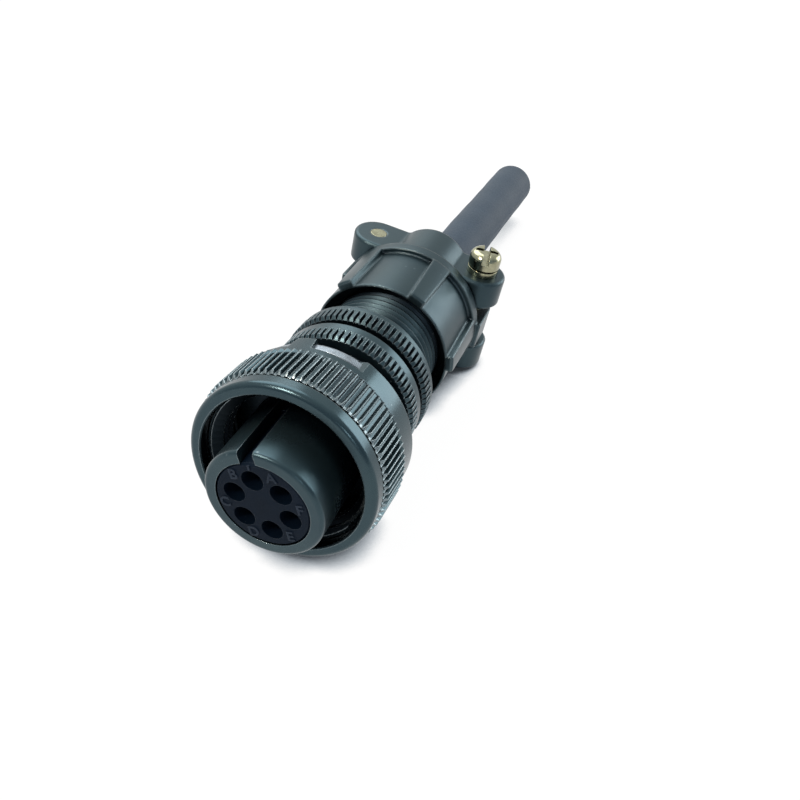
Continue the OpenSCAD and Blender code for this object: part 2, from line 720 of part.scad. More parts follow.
// Round-head screw with a slot and a shorter cross slot, its end flush with the far ear
module screw() {
    translate([screw_x, 0, 0]) difference() {
        union() {
            translate([0, 0, -ear_top]) cylinder(d = screw_d, h = ear_top + head_seat);
            turned(concat(
                [[0, head_seat], [head_d / 2 - head_foot, head_seat], [head_d / 2, head_seat + head_foot]],
                arc(head_d / 2 - head_edge, head_top - head_edge, head_edge, 0, 90), [[0, head_top]]));
        }
        rotate([0, 0, slot_turn]) {
            translate([-slot_w / 2, -head_d, head_top - slot_depth])
                cube([slot_w, 2 * head_d, slot_depth + over]);
            translate([-recess_l / 2, -recess_w / 2, head_top - recess_depth])
                cube([recess_l, recess_w, recess_depth + over]);
        }
    }
}

module screw_right() {
    color(nickel) at_rest() on_clamp() screw();
}

module screw_left() {
    color(nickel) at_rest() on_clamp() half_turn() screw();
}

// Split lock washer under the head
module lock_washer() {
    translate([screw_x, 0, 0]) difference() {
        ring(washer_d, screw_d + 2 * hole_gap, ear_top, head_seat);
        translate([0, -split_w / 2, ear_top - over]) cube([washer_d, split_w, washer_t + 2 * over]);
    }
}

module lock_washer_right() {
    color(nickel) at_rest() on_clamp() lock_washer();
}

module lock_washer_left() {
    color(nickel) at_rest() on_clamp() half_turn() lock_washer();
}

module cable_bushing() {
    front = bushing_flange_z - screw_z;
    lean = [-bushing_droop, bushing_side, 0];
    color(rubber) at_rest() translate([0, 0, screw_z]) rotate(lean) difference() {
        turned([[0, front], [bushing_flange_d / 2, front], [bushing_flange_d / 2, front + bushing_flange_t],
                [bushing_d / 2, front + bushing_flange_t], [bushing_d / 2, bushing_l - edge],
                [bushing_d / 2 - edge, bushing_l], [0, bushing_l]]);
        translate([0, 0, front - over]) cylinder(d = bushing_bore_d, h = bushing_l - front + 2 * over);
    }
}

plug_shell();
front_insert();
rear_insert();
insert_retaining_ring();
contact_a();
contact_b();
contact_c();
contact_d();
contact_e();
contact_f();
coupling_nut();
nut_retaining_ring();
backshell();
clamp_body();
upper_saddle();
lower_saddle();
screw_right();
screw_left();
lock_washer_right();
lock_washer_left();
cable_bushing();
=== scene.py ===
"""Circular cable plug: finishes, threads, letters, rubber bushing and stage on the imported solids."""

import json
import math

import bmesh
import bpy
from mathutils import Matrix, Vector


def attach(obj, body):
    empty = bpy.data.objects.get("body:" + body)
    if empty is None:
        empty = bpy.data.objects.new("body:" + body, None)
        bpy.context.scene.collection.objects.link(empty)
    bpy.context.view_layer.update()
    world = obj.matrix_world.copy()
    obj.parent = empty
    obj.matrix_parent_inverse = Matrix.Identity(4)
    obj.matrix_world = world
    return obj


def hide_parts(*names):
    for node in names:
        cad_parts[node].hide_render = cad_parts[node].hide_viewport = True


bl_info = {
    "name": "Circular Cable Plug",
    "version": (1, 0, 0),
    "blender": (4, 5, 0),
    "location": "View3D > Sidebar > Cable Plug",
    "description": "Finishes, threads, letters and rubber bushing of a circular cable plug",
    "category": "Object",
}

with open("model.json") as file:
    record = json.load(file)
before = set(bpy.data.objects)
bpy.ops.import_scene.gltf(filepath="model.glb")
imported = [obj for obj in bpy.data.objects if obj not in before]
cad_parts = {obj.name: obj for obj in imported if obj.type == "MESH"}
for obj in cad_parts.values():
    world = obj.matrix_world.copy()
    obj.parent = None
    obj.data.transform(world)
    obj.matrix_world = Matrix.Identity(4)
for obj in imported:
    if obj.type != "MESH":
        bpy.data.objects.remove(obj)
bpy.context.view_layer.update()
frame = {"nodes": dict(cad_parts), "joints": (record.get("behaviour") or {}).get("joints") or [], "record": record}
NODES = frame["nodes"]
JOINTS = {joint["name"]: joint for joint in frame["joints"]}
MOUNTS = {mount["name"]: mount for mount in frame["record"]["mounts"]}
MM = 0.001
MERGE_DISTANCE = 1e-7

CAST_NODES = ("clamp_body", "upper_saddle", "lower_saddle")
INSERT_NODES = ("front_insert", "rear_insert")
CONTACT_NODES = tuple("contact_" + letter for letter in "abcdef")
STEEL_NODES = ("nut_retaining_ring", "insert_retaining_ring")
NICKEL_NODES = ("screw_right", "screw_left", "lock_washer_right", "lock_washer_left")

# How far the barrel's mount and the nut's joint lie behind the front faces
BARREL_MOUNT_Z = 7.05 * MM
NUT_JOINT_Z = 9.15 * MM


def axis_frame(point, axis):
    """Matrix with Z along the axis from a point, and X to the right."""
    z = Vector(axis).normalized()
    x = Vector((1, 0, 0))
    x = (x - x.dot(z) * z).normalized()
    place = Matrix((x, z.cross(x), z)).transposed().to_4x4()
    place.translation = Vector(point)
    return place


def along(place, distance):
    """The same frame moved along its own Z."""
    return place @ Matrix.Translation((0, 0, distance))


def screw_frame(side):
    """Frame of a clamp screw, with Z from its end towards its head."""
    joint = JOINTS[f"screw_{side}_turn"]
    return axis_frame(joint["pos_m"], -Vector(joint["axis"]))


# The plug's frame starts at the barrel's front face, the nut's at the nut's front face
BARREL_MOUNT = MOUNTS["mating_barrel"]
BORE_MOUNT = MOUNTS["cable_bore"]
NUT_JOINT = JOINTS["nut_spin"]
PLUG = along(axis_frame(BARREL_MOUNT["pos_m"], -Vector(BARREL_MOUNT["axis"])), -BARREL_MOUNT_Z)
NUT = along(axis_frame(NUT_JOINT["pos_m"], NUT_JOINT["axis"]), -NUT_JOINT_Z)
BUSHING = axis_frame(BORE_MOUNT["pos_m"], BORE_MOUNT["axis"])
SCREWS = {side: screw_frame(side) for side in ("right", "left")}

# The nut's frame, and where the bevel on the ends of its knurl starts and ends, the band that gets rubbed plate
# and painted glints
TOOTH_ENDS = (NUT, 2.72 * MM, 3.2 * MM)

# The camera's lens is as long as its sensor is wide
CAMERA_PLACE = (0.0421211, -0.1203792, 0.0911698)
CAMERA_DOWN = math.radians(39.5154)
CAMERA_TURN = math.radians(21.1543)
CAMERA_LENS = 36

COOL = (0.98, 1.0, 0.99)
WARM = (1.0, 0.87, 0.74)

# Each lamp: its name, the setting for its power, its place, its target, its size and its tint
LAMPS = (
    ("rear_light", "key", (-0.20, 0.20, 0.38), (0, 0, 0), 0.46, COOL),
    ("front_light", "glint", (-0.15, -0.32, 0.40), (0, -0.02, 0.01), 0.12, WARM),
    ("window_light", "window", (0.27, -0.40, 0.20), (0, -0.04, 0.01), 0.08, COOL),
    ("side_light", "side", (0.26, 0.25, 0.09), (0.01, 0, 0.01), 0.26, COOL),
)


def length(name, description, millimetres):
    return bpy.props.FloatProperty(
        name=name, description=description, default=millimetres * MM, unit="LENGTH", precision=5
    )


def angle(name, description, degrees):
    return bpy.props.FloatProperty(
        name=name, description=description, default=math.radians(degrees), subtype="ANGLE"
    )


def colour(name, description, value):
    return bpy.props.FloatVectorProperty(
        name=name, description=description, default=value, subtype="COLOR", min=0, max=1
    )


def number(name, description, value):
    return bpy.props.FloatProperty(name=name, description=description, default=value)


class PlugFinish(bpy.types.PropertyGroup):
    """Colours of the plug's finishes."""

    plate: colour("Plate", "Dark olive plate on the metal shells", (0.043, 0.072, 0.083))
    # The shade colour also paints grime and painted shade into grooves and hollows
    plate_dark: colour("Plate shade", "Darker patches and grooves of the plate", (0.010, 0.026, 0.044))
    # Pale edge colour: plate rubbed thin, and painted highlights on edges, knurl crests and tooth ends
    plate_worn_and_highlight: colour("Worn edge", "Plate rubbed thin along the edges", (0.50, 0.58, 0.61))
    resin: colour("Resin", "Moulded insert", (0.002, 0.006, 0.014))
    # The letters are lighter than the face, partly as painted highlight on the raised letters
    letter: colour("Letters", "Contact letters on the insert", (0.020, 0.029, 0.046))
    gold: colour("Contacts", "Plated sockets", (0.55, 0.42, 0.18))
    steel: colour("Spring steel", "Retaining rings", (0.33, 0.38, 0.43))
    nickel: colour("Nickel", "Yellowish nickel on the screws", (0.38, 0.37, 0.25))
    rubber: colour("Rubber", "Cable bushing", (0.013, 0.033, 0.060))


class PlugThreads(bpy.types.PropertyGroup):
    """Sizes of the screw threads."""

    nut_pitch: length("Nut pitch", "Pitch of the coupling thread", 1.27)
    nut_root: length("Nut root", "Radius at the root of the nut's thread", 11.9)
    nut_crest: length("Nut crest", "Radius at the crest of the nut's thread", 10.5)
    nut_start: length("Nut start", "Distance of the nut's thread from its front", 2.75)
    nut_base: length("Nut ridge base", "Width of the nut's ridge at its root", 2.35)
    nut_top: length("Nut ridge top", "Width of the nut's ridge at its crest", 0.16)
    nut_turns: number("Nut turns", "Turns of the nut's thread", 3.2)
    screw_pitch: length("Screw pitch", "Pitch of the clamp screws", 0.635)
    screw_root: length("Screw root", "Radius at the root of the clamp screws", 1.38)
    screw_crest: length("Screw crest", "Radius at the crest of the clamp screws", 1.54)
    screw_start: length("Screw start", "Distance of the thread's start from the screw's joint", -9.2)
    screw_base: length("Screw ridge base", "Width of the screw's ridge at its root", 0.56)
    screw_top: length("Screw ridge top", "Width of the screw's ridge at its crest", 0.08)
    screw_turns: number("Screw turns", "Turns of the screw's thread", 27.0)


class PlugRing(bpy.types.PropertyGroup):
    """Second turn of the nut's retaining ring, which shows as two arcs beside the tab."""

    inner: length("Inner radius", "Inner radius of the turn", 12.45)
    outer: length("Outer radius", "Outer radius of the turn", 13.05)
    front: length("Front", "Distance of its front face from the nut's front", 13.2)
    back: length("Back", "Distance of its rear face from the nut's front", 13.68)
    front_bevel: length("Front bevel", "Bevel of its front edge", 0.1)
    back_bevel: length("Back bevel", "Bevel of its rear edge", 0.08)
    tab_turn: angle("Tab turn", "Turn of the nut's tab from the top", -9.5)
    tab_gap: angle("Tab gap", "Angle from the tab's middle to each arc", 8.5)
    sweep: angle("Sweep", "Angle of each arc", 25)


class PlugInsert(bpy.types.PropertyGroup):
    """Letters and keyway tick on the insert's face."""

    letter_size: length("Letter size", "Type size of the contact letters", 2.2)
    letter_radius: length("Letter circle", "Radius of the circle of letters", 5.65)
    letter_rise: length("Letter rise", "Half the thickness of the letters", 0.13)
    letter_weight: length("Letter weight", "How much each stroke is thickened", 0.04)
    letter_seat: length("Letter seat", "Depth of the letters' middle behind the barrel's front", 0.05)
    first_letter: angle("First letter", "Turn of the letter A from the keyway", 30)
    letter_step: angle("Letter step", "Angle from one letter to the next", -60)
    tick_width: length("Tick width", "Width of the tick at the keyway", 0.28)
    tick_length: length("Tick length", "Length of the tick at the keyway", 0.7)
    tick_radius: length("Tick circle", "Distance of the tick from the plug's axis", 6.3)
    key_turn: angle("Keyway turn", "Turn of the keyway", -12)


class PlugBushing(bpy.types.PropertyGroup):
    """Sizes of the rubber bushing."""

    radius: length("Radius", "Outer radius of the sleeve", 4.7)
    bore: length("Bore", "Radius of the bore", 3.15)
    reach: length("Reach", "Length behind the clamp's screws", 62.9)
    front: length("Front", "Distance of the flange's front from the clamp's screws", -8.9)
    flange: length("Flange", "Thickness of the flange", 1.7)
    flange_radius: length("Flange radius", "Outer radius of the flange", 6.4)
    lip: length("Lip", "Rounding of the open end", 0.45)
    seam: length("Seam", "Height of the mould seam", 0.06)


class PlugStage(bpy.types.PropertyGroup):
    """Light and floor."""

    key: number("Rear light", "Power of the large soft light behind on the left", 1.7)
    glint: number("Front light", "Power of the small light above the camera", 1.6)
    window: number("Window light", "Power of the small light on the camera's right", 0.15)
    side: number("Side light", "Power of the low soft light on the right", 0.75)
    ambient: number("Ambient", "Strength of the surrounding light", 0.5)
    glow: number("Floor glow", "Share of the floor's white that needs no lamp", 0.94)
    shadow: length("Shadow reach", "How far the plug's soft shadow spreads on the floor", 7.0)
    floor: colour("Floor", "Colour of the floor", (0.86, 0.87, 0.88))
    shade: colour("Floor shade", "Tint of the floor in the shadow", (0.72, 0.86, 1.0))
    room_bright: colour("Bright side", "Tint of the room behind the plug", (0.97, 1.0, 0.99))
    room_dim: colour("Dim side", "Tint of the room on the camera's side", (0.31, 0.39, 0.46))


class PlugSettings(bpy.types.PropertyGroup):
    """All settings of the plug."""

    finish: bpy.props.PointerProperty(type=PlugFinish)
    threads: bpy.props.PointerProperty(type=PlugThreads)
    ring: bpy.props.PointerProperty(type=PlugRing)
    insert: bpy.props.PointerProperty(type=PlugInsert)
    bushing: bpy.props.PointerProperty(type=PlugBushing)
    stage: bpy.props.PointerProperty(type=PlugStage)


def put(tree, kind, sockets=None, **attributes):
    """Adds a node; a socket's value is either a number or the socket that feeds it."""
    node = tree.nodes.new(kind)
    for key, value in attributes.items():
        setattr(node, key, value)
    for key, value in (sockets or {}).items():
        if isinstance(value, bpy.types.NodeSocket):
            tree.links.new(value, node.inputs[key])
        else:
            node.inputs[key].default_value = value
    return node


def calc(tree, operation, a, b=0.0, c=0.0, clamp=False):
    """Result of a math node."""
    sockets = {0: a, 1: b, 2: c}
    return put(tree, "ShaderNodeMath", sockets, operation=operation, use_clamp=clamp).outputs[0]


def times(tree, a, b):
    """Product of two numbers."""
    return calc(tree, "MULTIPLY", a, b)


def dot(tree, a, b):
    """Dot product of two vectors."""
    return put(tree, "ShaderNodeVectorMath", {0: a, 1: b}, operation="DOT_PRODUCT").outputs["Value"]


def span(tree, value, low, high, to_low=0.0, to_high=1.0):
    """A number taken from one range to another and held inside it."""
    sockets = {"Value": value, "From Min": low, "From Max": high, "To Min": to_low, "To Max": to_high}
    return put(tree, "ShaderNodeMapRange", sockets).outputs["Result"]


def blend_number(tree, factor, a, b):
    """Mix of two numbers."""
    return put(tree, "ShaderNodeMix", {0: factor, 2: a, 3: b}).outputs[0]


def blend_colour(tree, factor, a, b):
    """Mix of two colours, each a socket or three numbers."""
    node = put(tree, "ShaderNodeMix", data_type="RGBA")
    for key, kind, value in (("Factor", "VALUE", factor), ("A", "RGBA", a), ("B", "RGBA", b)):
        at = next(s for s in node.inputs if s.name == key and s.type == kind)
        if isinstance(value, bpy.types.NodeSocket):
            tree.links.new(value, at)
        else:
            at.default_value = value if kind == "VALUE" else (*value, 1)
    return next(s for s in node.outputs if s.type == "RGBA")


def painted(tree, base, *coats):
    """A base colour under further coats, each a mask and a colour."""
    for mask, tint in coats:
        base = blend_colour(tree, mask, base, tint)
    return base


def scaled(tint, share):
    """A colour made darker or lighter."""
    return tuple(share * v for v in tint)


def own_place(tree):
    """The piece's own coordinates."""
    return put(tree, "ShaderNodeTexCoord").outputs["Object"]


def noise(tree, vector, scale, detail=2.0, roughness=0.5):
    """Cloudy noise."""
    sockets = {"Vector": vector, "Scale": scale, "Detail": detail, "Roughness": roughness}
    return put(tree, "ShaderNodeTexNoise", sockets).outputs["Fac"]


def openness(tree, distance, samples):
    """How open a point is within a distance: 1 in the open, 0 where it is closed in."""
    sockets = {"Distance": distance}
    return put(tree, "ShaderNodeAmbientOcclusion", sockets, samples=samples).outputs["AO"]


def axial_band(tree, place, low, high):
    """Mask of the surface between two distances along a frame's own Z."""
    axis = place.to_3x3().col[2]
    middle = axis.dot(place.translation) + (low + high) / 2
    return calc(tree, "COMPARE", dot(tree, own_place(tree), tuple(axis)), middle, (high - low) / 2)


def edge_wear_and_highlight(tree, given):
    """Mask and rounded normal along outer edges, broken up in patches, for rubbed plate and painted edge
    highlights.
    """
    air_reach, patch_scale, samples = 0.6 * MM, 420.0, 6
    bevel = put(tree, "ShaderNodeBevel", {"Radius": given["Width"]}, samples=samples)
    rounded = bevel.outputs["Normal"]
    flat = put(tree, "ShaderNodeNewGeometry").outputs["Normal"]
    edge = span(tree, dot(tree, rounded, flat), low=0.995, high=0.82)
    outer = span(tree, openness(tree, air_reach, samples), low=0.45, high=0.75)
    cloud = noise(tree, own_place(tree), patch_scale, detail=3.0, roughness=0.6)
    patches = span(tree, cloud, low=0.35, high=0.65)
    steady = calc(tree, "SUBTRACT", 1.0, given["Patchiness"])
    broken = calc(tree, "MULTIPLY_ADD", patches, given["Patchiness"], steady)
    mask = calc(tree, "MULTIPLY", times(tree, edge, outer), broken, clamp=True)
    return {"Mask": mask, "Normal": rounded}


def surface_grain(tree, given):
    """Slow tone, fine grain and small specks, all from the piece's own coordinates."""
    rare_from = 0.93
    place = own_place(tree)
    cloud = noise(tree, place, given["Patch"], detail=4.0, roughness=0.6)
    tone = span(tree, cloud, low=0.3, high=0.7)
    fine = noise(tree, place, given["Grain"], detail=3.0, roughness=0.55)
    dots = put(tree, "ShaderNodeTexVoronoi", {"Vector": place, "Scale": given["Speck"]}).outputs
    near = span(tree, dots["Distance"], low=0.16, high=0.08)
    chance = put(tree, "ShaderNodeSeparateColor", {0: dots["Color"]}).outputs[0]
    specks = times(tree, near, calc(tree, "GREATER_THAN", chance, rare_from))
    return {"Tone": tone, "Height": fine, "Specks": specks}


def groove_shade(tree, given):
    """How closed in a point is, for dust and shade in grooves."""
    return {"Mask": span(tree, openness(tree, given["Reach"], samples=8), low=0.75, high=0.25)}


# Each shared effect: the function that builds it, its inputs and its outputs
NUMBER, VECTOR = "NodeSocketFloat", "NodeSocketVector"
EFFECTS = {
    "Rubbed edges": (edge_wear_and_highlight, ("Width", "Patchiness"), {"Mask": NUMBER, "Normal": VECTOR}),
    "Surface grain": (
        surface_grain, ("Patch", "Grain", "Speck"), {"Tone": NUMBER, "Height": NUMBER, "Specks": NUMBER}
    ),
    "Groove shade": (groove_shade, ("Reach",), {"Mask": NUMBER}),
}


def effect_group(name):
    """Shader group of a shared effect, built at its first use."""
    if name in bpy.data.node_groups:
        return bpy.data.node_groups[name]
    build, inputs, outputs = EFFECTS[name]
    tree = bpy.data.node_groups.new(name, "ShaderNodeTree")
    for label in inputs:
        tree.interface.new_socket(label, in_out="INPUT", socket_type=NUMBER)
    for label, kind in outputs.items():
        tree.interface.new_socket(label, in_out="OUTPUT", socket_type=kind)
    put(tree, "NodeGroupOutput", build(tree, put(tree, "NodeGroupInput").outputs))
    return tree


def effect(tree, name, **values):
    """Places a shared effect in a material with its own values."""
    node = put(tree, "ShaderNodeGroup", node_tree=effect_group(name))
    for key, value in values.items():
        node.inputs[key.title()].default_value = value
    return node.outputs


def new_material(name, **constants):
    """Material with a Principled BSDF; constants go straight onto its sockets."""
    material = bpy.data.materials.new(name)
    material.use_nodes = True
    tree = material.node_tree
    tree.nodes.clear()
    shader = put(tree, "ShaderNodeBsdfPrincipled")
    for key, value in constants.items():
        shader.inputs[key.replace("_", " ").title().replace("Ior", "IOR")].default_value = value
    put(tree, "ShaderNodeOutputMaterial", {"Surface": shader.outputs["BSDF"]})
    return material, tree, shader


def feed(tree, shader, base, roughness, normal):
    """Links a shader's colour, roughness and normal."""
    for key, socket in (("Base Color", base), ("Roughness", roughness), ("Normal", normal)):
        tree.links.new(socket, shader.inputs[key])


def grain_roughness(tree, grain, smooth, rough):
    """Roughness that follows the fine grain."""
    return span(tree, grain["Height"], low=0.3, high=0.7, to_low=smooth, to_high=rough)


def grain_bump(tree, grain, strength, distance, edges=None):
    """Normal with the fine grain, on rounded edges where they are given."""
    sockets = {"Height": grain["Height"], "Strength": strength, "Distance": distance}
    if edges is not None:
        sockets["Normal"] = edges["Normal"]
    return put(tree, "ShaderNodeBump", sockets).outputs["Normal"]


def plated_metal(
    name, rough, wear_and_highlight, grime_and_shade, specks, shade=1.0, edge_width=0.2 * MM, patch=110.0, grain_depth=0.07,
    closed=0.5, rubbed=None,
):
    """Dark olive plate: slow tone, grime and painted shade in grooves, painted shade in hollows, pale edges and
    tooth ends of rubbed plate and painted highlights.
    """
    groove_reach, hollow_reach, grain_height = 1.2 * MM, 9.0 * MM, 0.08 * MM
    hollow_spread, hollow_share, hollow_tone = 0.4, 0.92, 0.3
    glint_share, edge_polish, least_plate = 0.32, -0.06, 0.72
    dark_rough, light_rough = rough + 0.05, rough - 0.03
    finish = bpy.context.scene.cable_plug.finish
    material, tree, shader = new_material(name, metallic=0.78, specular_ior_level=0.35)
    grain = effect(tree, "Surface grain", patch=patch, grain=3200.0, speck=700.0)
    edges = effect(tree, "Rubbed edges", width=edge_width, patchiness=0.25)
    groove = effect(tree, "Groove shade", reach=groove_reach)["Mask"]
    hollow = effect(tree, "Groove shade", reach=hollow_reach)["Mask"]
    tone = span(tree, grain["Tone"], low=0, high=1, to_low=least_plate)
    # Painted shade: the plate turns near black where it is closed in within the hollow reach
    unlit = span(tree, hollow, low=closed, high=closed + hollow_spread, to_high=hollow_share)
    coats = [
        # Grime and painted shade in the grooves
        (times(tree, groove, grime_and_shade), finish.plate_dark),
        (unlit, scaled(finish.plate_dark, hollow_tone)),
        # Pale edges: rubbed plate, and painted highlights on edges and knurl crests
        (times(tree, edges["Mask"], wear_and_highlight), finish.plate_worn_and_highlight),
        (times(tree, grain["Specks"], specks), finish.plate_worn_and_highlight),
    ]
    # Pale tooth ends: rubbed plate and painted glints on the ends of the knurl's teeth, kept out of the grooves
    if rubbed is not None:
        in_the_open = calc(tree, "MULTIPLY_ADD", groove, -glint_share, glint_share, clamp=True)
        coats.append((times(tree, axial_band(tree, *rubbed), in_the_open), finish.plate_worn_and_highlight))
    base = blend_colour(tree, tone, finish.plate_dark, scaled(finish.plate, shade))
    tone_rough = span(tree, grain["Tone"], low=0, high=1, to_low=dark_rough, to_high=light_rough)
    roughness = calc(tree, "MULTIPLY_ADD", edges["Mask"], edge_polish, tone_rough)
    normal = grain_bump(tree, grain, grain_depth, grain_height, edges)
    feed(tree, shader, painted(tree, base, *coats), roughness, normal)
    return material


def moulded_resin(name, tint):
    """Matte moulded resin with a fine grain."""
    edge_tint, speck_tint, sheen_tint = (0.16, 0.19, 0.23), (0.3, 0.33, 0.38), (0.55, 0.75, 1.0, 1)
    dark_share, edge_share, speck_share = 0.72, 0.25, 0.12
    material, tree, shader = new_material(name, specular_ior_level=0.1, specular_tint=sheen_tint)
    grain = effect(tree, "Surface grain", patch=260.0, grain=5200.0, speck=2200.0)
    edges = effect(tree, "Rubbed edges", width=0.12 * MM, patchiness=0.3)
    base = painted(
        tree,
        blend_colour(tree, grain["Tone"], scaled(tint, dark_share), tint),
        (times(tree, edges["Mask"], edge_share), edge_tint),
        (times(tree, grain["Specks"], speck_share), speck_tint),
    )
    roughness = grain_roughness(tree, grain, smooth=0.5, rough=0.64)
    normal = grain_bump(tree, grain, strength=0.2, distance=0.06 * MM, edges=edges)
    feed(tree, shader, base, roughness, normal)
    return material


def bright_metal(name, tint, stain, stain_share, smooth, rough, grime_and_shade):
    """Bare or plated bright metal with a fine grain, grime and painted shade in its corners, and small stains."""
    dull_share, corner_share = 0.62, 0.3
    material, tree, shader = new_material(name, metallic=1.0)
    grain = effect(tree, "Surface grain", patch=700.0, grain=6500.0, speck=1800.0)
    edges = effect(tree, "Rubbed edges", width=0.2 * MM, patchiness=0.2)
    groove = effect(tree, "Groove shade", reach=0.8 * MM)["Mask"]
    base = painted(
        tree,
        blend_colour(tree, grain["Tone"], scaled(tint, dull_share), tint),
        # Dark corners: grime and painted shade where the surface is closed in
        (times(tree, groove, grime_and_shade), scaled(tint, corner_share)),
        (times(tree, grain["Specks"], stain_share), stain),
    )
    normal = grain_bump(tree, grain, strength=0.12, distance=0.05 * MM, edges=edges)
    feed(tree, shader, base, grain_roughness(tree, grain, smooth, rough), normal)
    return material


def soft_rubber(name, tint):
    """Matte rubber with a faint bloom and a fine pitted skin."""
    dark_share, bloom_share, speck_share = 0.8, 1.35, 0.25
    material, tree, shader = new_material(
        name, specular_ior_level=0.32, sheen_weight=0.12, sheen_roughness=0.5
    )
    grain = effect(tree, "Surface grain", patch=70.0, grain=2600.0, speck=1300.0)
    base = painted(
        tree,
        blend_colour(tree, grain["Tone"], scaled(tint, dark_share), tint),
        (times(tree, grain["Specks"], speck_share), scaled(tint, bloom_share)),
    )
    roughness = grain_roughness(tree, grain, smooth=0.6, rough=0.78)
    normal = grain_bump(tree, grain, strength=0.25, distance=0.1 * MM)
    feed(tree, shader, base, roughness, normal)
    return material


def dress(nodes, material):
    """Gives CAD nodes their finish."""
    for node in nodes:
        piece = NODES[node]
        if not piece.material_slots:
            piece.data.materials.append(material)
        for slot in piece.material_slots:
            slot.material = material


def finish_piece(name, mesh, material, body):
    """Links a finished mesh at the origin and lets it ride on a body."""
    mesh.materials.clear()
    mesh.materials.append(material)
    piece = bpy.data.objects.new(name, mesh)
    bpy.context.scene.collection.objects.link(piece)
    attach(piece, body)
    return piece


def evaluated_mesh(holder):
    """Plain mesh of an object with its modifiers or its text applied; the object is removed."""
    bpy.context.scene.collection.objects.link(holder)
    graph = bpy.context.evaluated_depsgraph_get()
    mesh = bpy.data.meshes.new_from_object(holder.evaluated_get(graph))
    holder.modifiers.clear()
    bpy.data.objects.remove(holder)
    return mesh


def bridge(shell, low, high, smooth=False):
    """Quads between two closed rows of points."""
    for k in range(len(low)):
        n = (k + 1) % len(low)
        face = shell.faces.new((low[k], low[n], high[n], high[k]))
        face.smooth = smooth


def settled(shell, name, place):
    """Mesh of a closed shell, with its faces turned outwards and put in its place."""
    bmesh.ops.recalc_face_normals(shell, faces=shell.faces)
    mesh = bpy.data.meshes.new(name)
    shell.to_mesh(mesh)
    shell.free()
    mesh.transform(place)
    return mesh


def ridge_tree():
    """Geometry Nodes tree of one closed helical ridge along Z, tapered to nothing at both ends."""
    name, steps_per_turn, run_out, corners = "Helical ridge", 64.0, 0.3, 4
    crest_middle, far_middle, corner_reach = 1.5, 2.5, 0.6
    if name in bpy.data.node_groups:
        return bpy.data.node_groups[name]
    tree = bpy.data.node_groups.new(name, "GeometryNodeTree")
    for label in ("Root", "Crest", "Pitch", "Start", "Turns", "Base Width", "Crest Width"):
        tree.interface.new_socket(label, in_out="INPUT", socket_type=NUMBER)
    tree.interface.new_socket("Finish", in_out="INPUT", socket_type="NodeSocketMaterial")
    tree.interface.new_socket("Ridge", in_out="OUTPUT", socket_type="NodeSocketGeometry")
    given = put(tree, "NodeGroupInput").outputs
    steps = calc(tree, "MULTIPLY_ADD", given["Turns"], steps_per_turn, 1.0)
    sheet = put(tree, "GeometryNodeMeshGrid", {
        "Size X": 1.0, "Size Y": corners, "Vertices X": steps, "Vertices Y": corners + 1}).outputs["Mesh"]
    position = put(tree, "GeometryNodeInputPosition").outputs[0]
    at = put(tree, "ShaderNodeSeparateXYZ", {0: position}).outputs
    run = calc(tree, "ADD", at["X"], 0.5)
    corner = calc(tree, "ROUND", calc(tree, "ADD", at["Y"], corners / 2))
    # Corners 0 and 4 are one base corner, 3 is the other, 1 and 2 are the crest
    on_crest = calc(tree, "COMPARE", corner, crest_middle, corner_reach)
    on_far_side = calc(tree, "COMPARE", corner, far_middle, corner_reach)
    side = calc(tree, "SUBTRACT", times(tree, on_far_side, 2.0), 1.0)
    half = times(tree, blend_number(tree, on_crest, given["Base Width"], given["Crest Width"]), 0.5)
    to_end = calc(tree, "MINIMUM", run, calc(tree, "SUBTRACT", 1.0, run))
    grown = put(tree, "ShaderNodeMapRange", {
        "Value": times(tree, to_end, given["Turns"]), "From Max": run_out},
        interpolation_type="SMOOTHSTEP").outputs["Result"]
    depth = calc(tree, "SUBTRACT", given["Crest"], given["Root"])
    rise = times(tree, depth, times(tree, on_crest, grown))
    radius = calc(tree, "ADD", given["Root"], rise)
    turned = times(tree, run, given["Turns"])
    turn = times(tree, turned, math.tau)
    travel = calc(tree, "MULTIPLY_ADD", turned, given["Pitch"], given["Start"])
    spot = put(tree, "ShaderNodeCombineXYZ", {
        "X": times(tree, radius, calc(tree, "COSINE", turn)),
        "Y": times(tree, radius, calc(tree, "SINE", turn)),
        "Z": calc(tree, "MULTIPLY_ADD", times(tree, side, half), grown, travel)}).outputs[0]
    moved = put(tree, "GeometryNodeSetPosition", {"Geometry": sheet, "Position": spot}).outputs[0]
    closed = put(tree, "GeometryNodeMergeByDistance", {
        "Geometry": moved, "Distance": MERGE_DISTANCE}).outputs[0]
    real = put(tree, "GeometryNodeRealizeInstances", {"Geometry": closed}).outputs[0]
    coated = put(tree, "GeometryNodeSetMaterial", {"Geometry": real, "Material": given["Finish"]})
    put(tree, "NodeGroupOutput", {"Ridge": coated.outputs[0]})
    return tree


def thread(name, place, material, body, slot, **sizes):
    """One thread from the helical ridge tree, as a plain mesh on a body."""
    fewest_faces = 20
    tree = ridge_tree()
    holder = bpy.data.objects.new(name + "_maker", bpy.data.meshes.new(name + "_maker"))
    maker = holder.modifiers.new("Thread", "NODES")
    maker.node_group = tree
    sockets = {s.name: s.identifier for s in tree.interface.items_tree if s.in_out == "INPUT"}
    for key, value in sizes.items():
        maker[sockets[key.replace("_", " ").title()]] = float(value)
    maker[sockets["Finish"]] = material
    raw = evaluated_mesh(holder)
    if len(raw.polygons) < fewest_faces:
        raise RuntimeError(f"{name}: the ridge tree gave no mesh")
    shell = bmesh.new()
    shell.from_mesh(raw)
    bpy.data.meshes.remove(raw)
    bmesh.ops.remove_doubles(shell, verts=shell.verts, dist=MERGE_DISTANCE)
    finish_piece(name, settled(shell, name, place), material, body)


